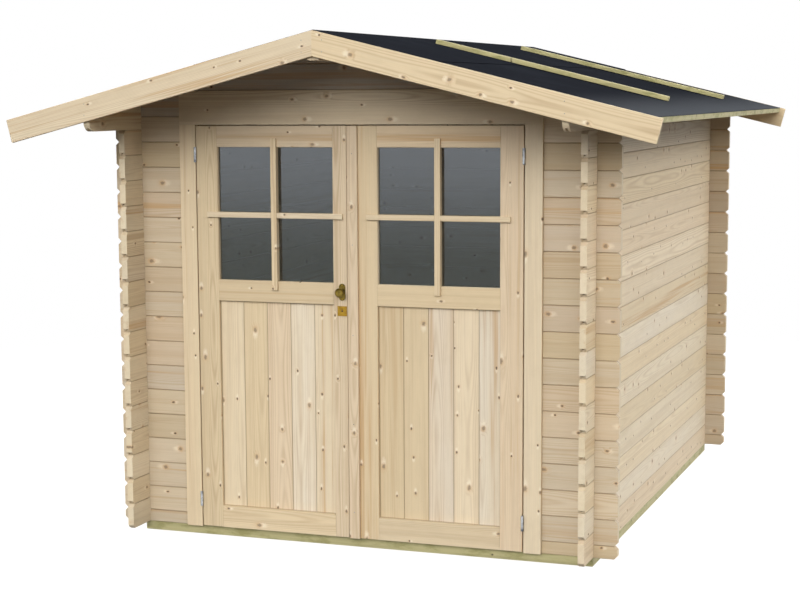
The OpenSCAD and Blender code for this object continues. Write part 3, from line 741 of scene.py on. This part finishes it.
def floor_boards():
    """Floor boards along the depth, cut round the door frame."""
    low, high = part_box("floor_boards")
    frame_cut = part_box("right_jamb")[1].x + FLOOR_FRAME_GAP
    cut_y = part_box("right_jamb")[1].y + FIT_GAP
    count = math.ceil((high.x - low.x) / FLOOR_COVER)
    boards = Solids()
    for i in range(count):
        a = low.x + i * FLOOR_COVER + BOARD_GAP / 2
        b = min(low.x + (i + 1) * FLOOR_COVER - BOARD_GAP / 2, high.x)
        steps = sorted({a, b, *(x for x in (-frame_cut, frame_cut) if a < x < b)})
        front = []
        for p, q in zip(steps, steps[1:]):
            y = cut_y if abs((p + q) / 2) < frame_cut else low.y
            front += [(p, y), (q, y)]
        boards.prism(front + [(b, high.y), (a, high.y)], low.z, high.z, lambda x, y, z: (x, y, z))
    wood = timber("floor_boards", PLANED, "Y", "X", FLOOR_COVER, low.x, (low.z + high.z) / 2, FLOOR_SEED)
    soften(add_piece("floor_planks", boards, "shed", "planed_spruce", wood, "floor_boards"), FLOOR_V, 1)


def slope_point(sign, along, up, y):
    """A point on a roof slope: distance down from the ridge, height above the boards' underside, depth."""
    x = along * math.cos(PITCH) + up * math.sin(PITCH)
    return (sign * x, y, ridge_under - along * math.sin(PITCH) + up * math.cos(PITCH))


roof_low, roof_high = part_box("right_roof_boards")
ridge_under = roof_high.z - ROOF_BOARD_T / math.cos(PITCH)
roof_reach = (roof_high.x - ROOF_BOARD_T * math.sin(PITCH)) / math.cos(PITCH)


def roof_boards(side, sign, seed):
    """Boards down a slope, with V joints on the side that shows from below."""
    count = round((roof_high.y - roof_low.y) / ROOF_COVER)
    cover = (roof_high.y - roof_low.y) / count
    boards = Solids()
    for i in range(count):
        a = roof_low.y + i * cover + BOARD_GAP / 2
        b = a + cover - BOARD_GAP
        section = [(a + ROOF_V, 0), (b - ROOF_V, 0), (b, ROOF_V), (b, ROOF_BOARD_T), (a, ROOF_BOARD_T),
                   (a, ROOF_V)]
        boards.prism(section, lambda y, up: -up * math.tan(PITCH), roof_reach,
                     lambda y, up, along: slope_point(sign, along, up, y))
    node = side + "_roof_boards"
    wood = timber(node, SHADED_ROUGH, "X", "Y", cover, roof_low.y, ridge_under * math.cos(PITCH), seed,
                  -sign * PITCH)
    add_piece(side + "_sarking", boards, "shed", "wall_spruce", wood, node)


# Profiles of the heads: radius and height, in radii of the head
SCREW = ((0.0, -0.3), (1.0, -0.3), (1.0, 0.05), (0.8, 0.18), (0.42, 0.2), (0.34, 0.02), (0.0, 0.02))
NAIL = ((0.0, -0.3), (1.0, -0.3), (0.85, 0.12), (0.0, 0.16))


def fasteners(name, body, slot, material, shape, radius, facing, spots):
    """Screw or nail heads on a face: their shape, radius, the way they face and their places."""
    turn = Vector(facing).normalized().to_track_quat("Z", "X")
    heads = Solids()
    for spot in spots:
        heads.lathe([(r * radius, h * radius) for r, h in shape], HEAD_SIDES,
                    lambda a, b, h, spot=spot: Vector(spot) + turn @ Vector((a, b, h)))
    add_piece(name, heads, body, slot, material)


def evenly(start, end, count):
    return [start + (end - start) * i / (count - 1) for i in range(count)]


def roof_fasteners():
    """Screws of the battens and nails of the bargeboards."""
    low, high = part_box("roof_battens")
    batten_top = (high.z - ridge_under + BATTEN_START * math.sin(PITCH)) / math.cos(PITCH)
    for side, sign in SIDES:
        spots = [slope_point(sign, BATTEN_START + along, batten_top, y)
                 for y in (low.y + BATTEN_W / 2, high.y - BATTEN_W / 2)
                 for along in evenly(BATTEN_SCREW_INSET, BATTEN_LEN - BATTEN_SCREW_INSET, BATTEN_SCREWS)]
        fasteners(side + "_batten_screws", "shed", "hinge_steel", steel, SCREW, SCREW_R,
                  (sign * math.sin(PITCH), 0, math.cos(PITCH)), spots)
    for end, face, way in (("front", 0, -1), ("rear", 1, 1)):
        spots = []
        for side, sign in SIDES:
            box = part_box(end + "_" + side + "_bargeboard")
            for x in (BARGE_NAIL_INSET, centre("right_eave_log").x):
                middle = box[1].z - x * math.tan(PITCH) - BARGE_H / math.cos(PITCH) / 2
                spots += [(sign * x, box[face].y, middle + up * BARGE_NAIL_SPREAD) for up in (-1, 1)]
        fasteners(end + "_bargeboard_nails", "shed", "hinge_steel", steel, NAIL, NAIL_R, (0, way, 0), spots)


def joinery_fasteners():
    """Nails of the cover strip and floor, and screws of the threshold."""
    low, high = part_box("cover_strip")
    heights = evenly(low.z + STRIP_NAIL_INSET, high.z - STRIP_NAIL_INSET, STRIP_NAILS)
    fasteners("cover_strip_nails", "right_door", "hinge_steel", steel, NAIL, NAIL_R, (0, -1, 0),
              [((low.x + high.x) / 2, low.y, z) for z in heights])
    low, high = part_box("threshold")
    places = evenly(low.x + THRESHOLD_SCREW_INSET, high.x - THRESHOLD_SCREW_INSET, THRESHOLD_SCREWS)
    fasteners("threshold_screws", "shed", "hinge_steel", steel, SCREW, SCREW_R, (0, 0, 1),
              [(x, (low.y + high.y) / 2, high.z) for x in places])
    low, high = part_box("floor_boards")
    joist_low, joist_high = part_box("floor_joists")
    joists = round((joist_high.y - joist_low.y) / JOIST_SPACING) + 1
    rows = evenly(joist_low.y + FLOOR_NAIL_INSET, joist_high.y - FLOOR_NAIL_INSET, joists)
    boards = [low.x + FLOOR_COVER * i for i in range(math.floor((high.x - low.x) / FLOOR_COVER))]
    fasteners("floor_nails", "shed", "hinge_steel", steel, NAIL, NAIL_R, (0, 0, 1),
              [(x + part * FLOOR_COVER, y, high.z)
               for x in boards for part in FLOOR_NAIL_PARTS for y in rows])


def lock_fasteners():
    """Screws of the knob's roses on both faces of the leaf, and of the lock plate."""
    knob, (knob_low, knob_high) = centre("door_knob"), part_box("door_knob")
    leaf_low, leaf_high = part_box("left_door_stiles")
    low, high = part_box("lock_plate")
    plate_t = leaf_low.y - low.y
    for name, y, way in (("outer", leaf_low.y - plate_t, -1), ("inner", leaf_high.y + plate_t, 1)):
        fasteners(name + "_rose_screws", "left_door", "aged_brass", brass, SCREW, ROSE_SCREW_R, (0, way, 0),
                  [(knob.x, y, z) for z in (knob_low.z + ROSE_SCREW_INSET, knob_high.z - ROSE_SCREW_INSET)])
    fasteners("lock_plate_screws", "left_door", "aged_brass", brass, SCREW, PLATE_SCREW_R, (0, -1, 0),
              [(x, low.y, z) for x in (low.x + PLATE_SCREW_INSET, high.x - PLATE_SCREW_INSET)
               for z in (low.z + PLATE_SCREW_INSET, high.z - PLATE_SCREW_INSET)])


for side, sign in SIDES:
    door_panel(side, DOOR_SEED[side])
    glazing(side, DOOR_SEED[side] + GLAZING_SEED_STEP)
    roof_boards(side, sign, DOOR_SEED[side] + ROOF_SEED_STEP)
floor_boards()
roof_fasteners()
joinery_fasteners()
lock_fasteners()


def surround():
    """Light from all round: a bright band above the floor and four soft keys. As seen, it is white."""
    s = Shader("surround", bpy.data.worlds.new("surround"), "Background")
    bpy.context.scene.world = s.material
    x, y, height = s.split(s.node("TexCoord").outputs["Generated"])
    sky = s.times(s.span(height, *SKY_RISE, SKY_LOW, SKY_BAND), s.span(height, *SKY_FALL, 1.0, SKY_TOP))
    for reach, rise, strength in ((y, FRONT_KEY_RISE, FRONT_KEY), (x, SIDE_KEY_RISE, SIDE_KEY)):
        towards = s.add(s.times(s.math("ABSOLUTE", reach), math.cos(rise)), s.times(height, math.sin(rise)))
        sky = s.add(sky, s.span(towards, *KEY_SPREAD, 0.0, strength))
    seen = s.seen()
    unseen = s.math("SUBTRACT", 1.0, seen)
    s.finish(Color=(1, 1, 1, 1), Strength=s.add(seen, s.times(unseen, sky)))


def add_stage(name, solids, material):
    """A floor or backdrop that isn't part of the object."""
    stage = bpy.data.objects.new(name, solids.mesh(name))
    bpy.context.scene.collection.objects.link(stage)
    stage.data.materials.append(material)
    stage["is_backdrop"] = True
    return stage


def pale_floor():
    """A floor that keeps the object's shadow and fades into the white surround."""
    sheet = Solids()
    sheet.grid(1, 1, lambda i, j: ((i - 0.5) * FLOOR_SIDE, (j - 0.5) * FLOOR_SIDE, -FLOOR_DROP))
    s = Shader("studio_floor")
    place = s.node("TexCoord").outputs["Object"]
    distance = s.node("VectorMath", {"operation": "LENGTH"}, Vector=place).outputs["Value"]
    seen = s.seen()
    fade = s.math("SUBTRACT", 1.0, s.times(seen, s.span(distance, *FLOOR_FADE, 1 - FLOOR_COVER_SEEN, 1.0)))
    material = s.finish(Base_Color=s.mix(seen, srgb(FLOOR_LIT), srgb(FLOOR_SEEN)), Roughness=0.9,
                        Specular_IOR_Level=0.1, Alpha=fade, Emission_Color=(1, 1, 1, 1),
                        Emission_Strength=s.times(seen, FLOOR_GLOW))
    add_stage("studio_floor", sheet, material)


def mirrored_card():
    """A card that only the panes show: pale above, darker towards the floor."""
    sheet = Solids()
    sheet.grid(1, 1, lambda i, j: (CARD_X + (i - 0.5) * CARD_W, CARD_Y, j * CARD_TOP - (1 - j) * CARD_DROP))
    s = Shader("studio_card")
    level = s.split(s.node("TexCoord").outputs["Object"])[2]
    tone = s.mix(s.span(level, *CARD_FADE), srgb(CARD_LOW), srgb(CARD_HIGH))
    material = s.finish(Base_Color=(0, 0, 0, 1), Specular_IOR_Level=0.0, Emission_Strength=1.0,
                        Emission_Color=tone)
    card = add_stage("studio_card", sheet, material)
    for rays in ("camera", "diffuse", "transmission", "shadow"):
        setattr(card, "visible_" + rays, False)


def key_lamp():
    """A broad soft lamp in front of the shed, to the right."""
    key = bpy.data.lights.new("key", "AREA")
    key.shape = "DISK"
    key.size = LAMP_SIZE
    key.energy = LAMP_POWER
    lamp = bpy.data.objects.new("key", key)
    level = math.cos(LAMP_RISE)
    back = Vector((math.sin(LAMP_AZIMUTH) * level, -math.cos(LAMP_AZIMUTH) * level, math.sin(LAMP_RISE)))
    lamp.location = Vector(LAMP_AIM) + back * LAMP_REACH
    lamp.rotation_mode = "QUATERNION"
    lamp.rotation_quaternion = (-back).to_track_quat("-Z", "Y")
    bpy.context.scene.collection.objects.link(lamp)


def camera():
    """The camera, from its place, direction, roll and focal length."""
    look = Vector((-math.sin(CAMERA_AZIMUTH) * math.cos(CAMERA_PITCH),
                   math.cos(CAMERA_AZIMUTH) * math.cos(CAMERA_PITCH), math.sin(CAMERA_PITCH)))
    level_right = look.cross(Vector((0, 0, 1))).normalized()
    level_up = level_right.cross(look)
    right = level_right * math.cos(CAMERA_ROLL) + level_up * math.sin(CAMERA_ROLL)
    up = level_up * math.cos(CAMERA_ROLL) - level_right * math.sin(CAMERA_ROLL)
    lens = bpy.data.cameras.new("camera")
    lens.sensor_width = SENSOR_W
    lens.lens = CAMERA_FOCAL_PIXELS / IMAGE_W * SENSOR_W
    lens.shift_x = CAMERA_SHIFT_PIXELS[0] / IMAGE_W
    lens.shift_y = CAMERA_SHIFT_PIXELS[1] / IMAGE_W
    eye = bpy.data.objects.new("camera", lens)
    turn = Matrix((right, up, -look)).transposed().to_4x4()
    eye.matrix_world = Matrix.Translation(CAMERA_PLACE) @ turn
    bpy.context.scene.collection.objects.link(eye)
    bpy.context.scene.camera = eye


surround()
pale_floor()
mirrored_card()
key_lamp()
camera()
bpy.context.scene.view_settings.view_transform = "Standard"

low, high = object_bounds()
